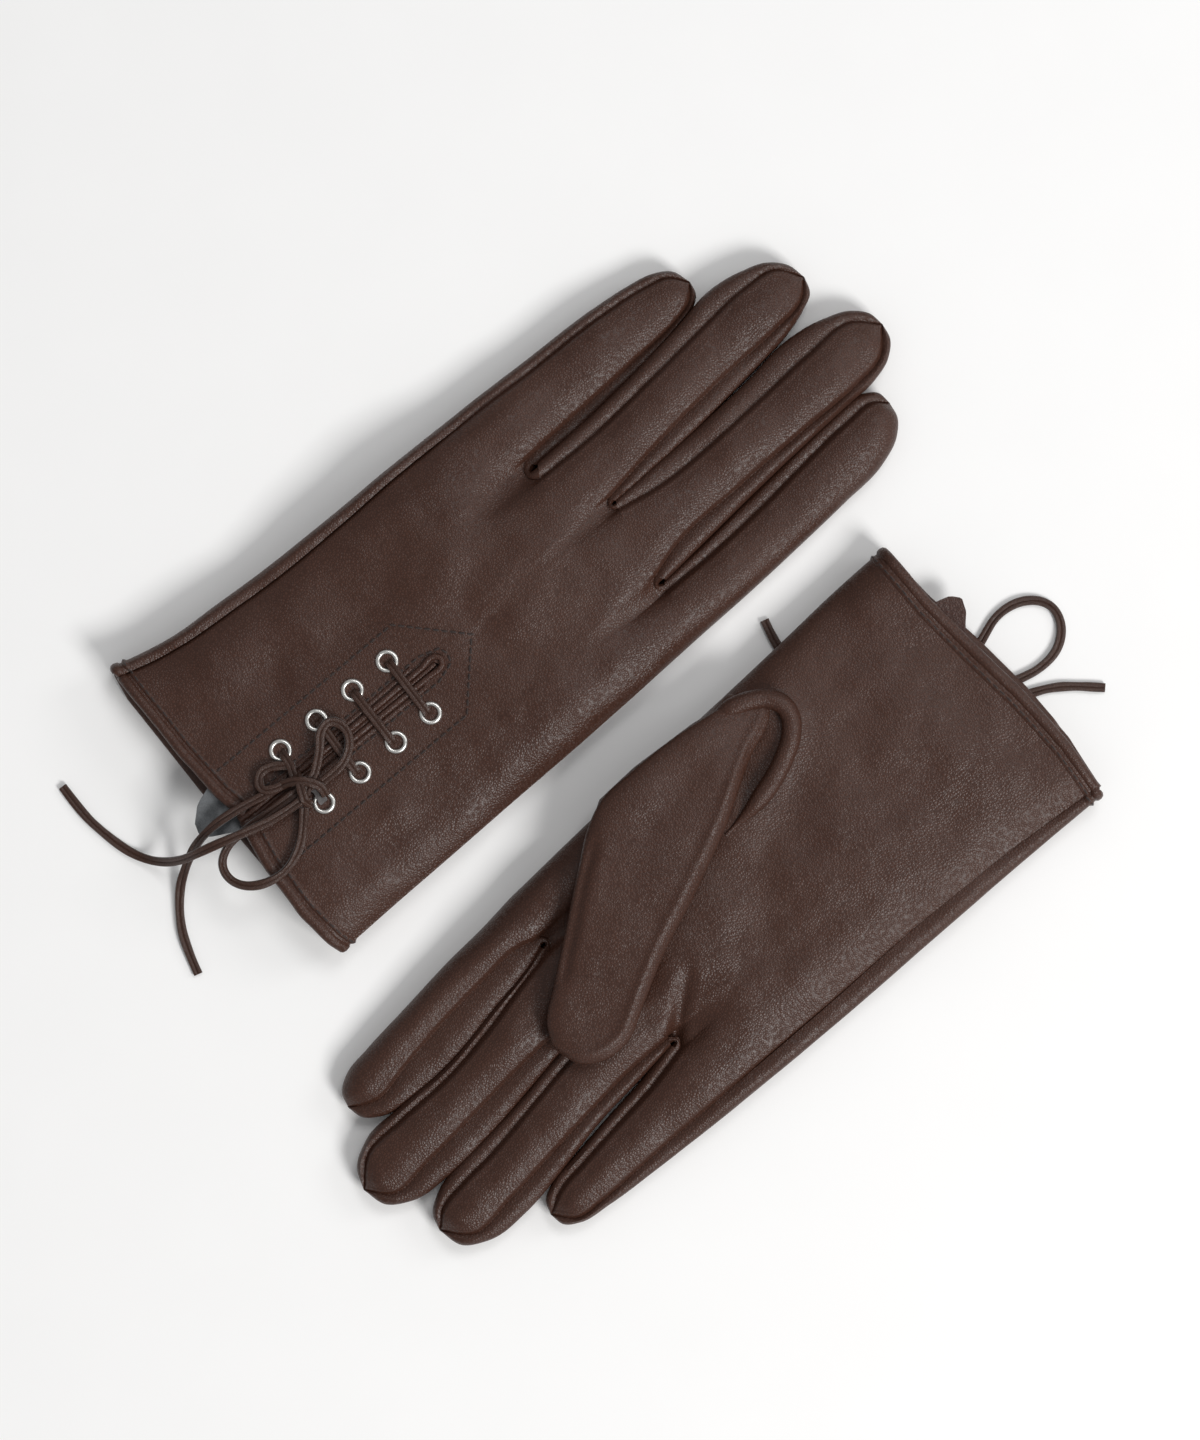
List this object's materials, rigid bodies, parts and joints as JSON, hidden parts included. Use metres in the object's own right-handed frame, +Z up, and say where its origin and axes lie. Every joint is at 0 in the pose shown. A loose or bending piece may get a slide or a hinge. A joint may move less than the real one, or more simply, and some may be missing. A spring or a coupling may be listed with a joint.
{
  "type": "pair of leather gloves",
  "caption": "Pair of flat-lying leather gloves with fourchetted fingers, folded thumbs, turned hems and a laced, eyeleted slit at each cuff.",
  "frame": {"origin": "on the surface the pair lies on, under the middle of the pair without its free laces", "axes": "+X along the left glove's fingers, +Y from the right glove to the left glove, +Z up"},
  "size_m": [0.286, 0.2217, 0.0238],
  "materials": {
    "glove_leather": "fine pebbled grain, satin",
    "strip_leather": "fine pebbled grain, satin",
    "edge_leather": "turned edge, stitched, satin",
    "backing_leather": "smooth",
    "lace_leather": "flat lace, smooth face, suede edges",
    "left_tongue_suede": "suede",
    "right_tongue_leather": "satin",
    "knit_lining": "brushed knit",
    "nickel": "bright nickel plate"
  },
  "bodies": {
    "left_hand": {"left_bow_knot": "lace_leather", "left_bow_loop_a": "lace_leather", "left_bow_loop_b": "lace_leather", "left_cuff_hem": "edge_leather", "left_eyelet_washers": "nickel", "left_eyelets": "nickel", "left_fourchette_roots": "strip_leather", "left_lace_bars": "lace_leather", "left_lace_end_a": "lace_leather", "left_lace_end_b": "lace_leather", "left_lacing_patch": "backing_leather", "left_lining": "knit_lining", "left_side_strip": "strip_leather", "left_slit_binding": "edge_leather", "left_tongue": "left_tongue_suede", "left_trank": "glove_leather"},
    "left_index_finger": {"left_index_fourchette": "strip_leather", "left_index_wrap": "glove_leather"},
    "left_little_finger": {"left_little_back": "glove_leather", "left_little_fourchettes": "strip_leather", "left_little_palm": "glove_leather"},
    "left_middle_finger": {"left_middle_back": "glove_leather", "left_middle_fourchettes": "strip_leather", "left_middle_palm": "glove_leather"},
    "left_ring_finger": {"left_ring_back": "glove_leather", "left_ring_fourchettes": "strip_leather", "left_ring_palm": "glove_leather"},
    "left_thumb": {"left_thumb_inner": "glove_leather", "left_thumb_outer": "glove_leather"},
    "right_hand": {"right_bow_knot": "lace_leather", "right_bow_loop_a": "lace_leather", "right_bow_loop_b": "lace_leather", "right_cuff_hem": "edge_leather", "right_eyelet_washers": "nickel", "right_eyelets": "nickel", "right_fourchette_roots": "strip_leather", "right_lace_bars": "lace_leather", "right_lace_end_a": "lace_leather", "right_lace_end_b": "lace_leather", "right_lacing_patch": "backing_leather", "right_lining": "knit_lining", "right_side_strip": "strip_leather", "right_slit_binding": "edge_leather", "right_tongue": "right_tongue_leather", "right_trank": "glove_leather"},
    "right_index_finger": {"right_index_fourchette": "strip_leather", "right_index_wrap": "glove_leather"},
    "right_little_finger": {"right_little_back": "glove_leather", "right_little_fourchettes": "strip_leather", "right_little_palm": "glove_leather"},
    "right_middle_finger": {"right_middle_back": "glove_leather", "right_middle_fourchettes": "strip_leather", "right_middle_palm": "glove_leather"},
    "right_ring_finger": {"right_ring_back": "glove_leather", "right_ring_fourchettes": "strip_leather", "right_ring_palm": "glove_leather"},
    "right_thumb": {"right_thumb_inner": "glove_leather", "right_thumb_outer": "glove_leather"}
  },
  "joints": [
    {"name": "left_index_curl", "type": "hinge", "parent": "left_hand", "child": "left_index_finger", "pos_m": [0.07, 0.0154, 0.0063], "axis": [0, 1, 0], "range_deg": [0, 75]},
    {"name": "left_middle_curl", "type": "hinge", "parent": "left_hand", "child": "left_middle_finger", "pos_m": [0.084, 0.0395, 0.01057], "axis": [0, 1, 0], "range_deg": [0, 75]},
    {"name": "left_ring_curl", "type": "hinge", "parent": "left_hand", "child": "left_ring_finger", "pos_m": [0.084, 0.0656, 0.0105], "axis": [0, 1, 0], "range_deg": [0, 75]},
    {"name": "left_little_curl", "type": "hinge", "parent": "left_hand", "child": "left_little_finger", "pos_m": [0.067, 0.0893, 0.0062], "axis": [0, 1, 0], "range_deg": [0, 75]},
    {"name": "left_thumb_fold", "type": "hinge", "parent": "left_hand", "child": "left_thumb", "pos_m": [0, 0.003, 0.007], "axis": [-1, 0, 0], "range_deg": [0, 120]},
    {"name": "right_index_curl", "type": "hinge", "parent": "right_hand", "child": "right_index_finger", "pos_m": [-0.07, -0.0313, 0.0063], "axis": [0, 1, 0], "range_deg": [0, 75]},
    {"name": "right_middle_curl", "type": "hinge", "parent": "right_hand", "child": "right_middle_finger", "pos_m": [-0.084, -0.0554, 0.00624], "axis": [0, 1, 0], "range_deg": [0, 75]},
    {"name": "right_ring_curl", "type": "hinge", "parent": "right_hand", "child": "right_ring_finger", "pos_m": [-0.084, -0.0783, 0.00623], "axis": [0, 1, 0], "range_deg": [0, 75]},
    {"name": "right_little_curl", "type": "hinge", "parent": "right_hand", "child": "right_little_finger", "pos_m": [-0.067, -0.0995, 0.0063], "axis": [0, 1, 0], "range_deg": [0, 75]},
    {"name": "right_thumb_fold", "type": "hinge", "parent": "right_hand", "child": "right_thumb", "pos_m": [0, -0.014, 0.0162], "axis": [-1, 0, 0], "range_deg": [0, 120]},
    {"name": "right_glove_lift", "type": "slide", "parent": "left_hand", "child": "right_hand", "axis": [0, 0, 1], "range_m": [0, 0.12]}
  ]
}
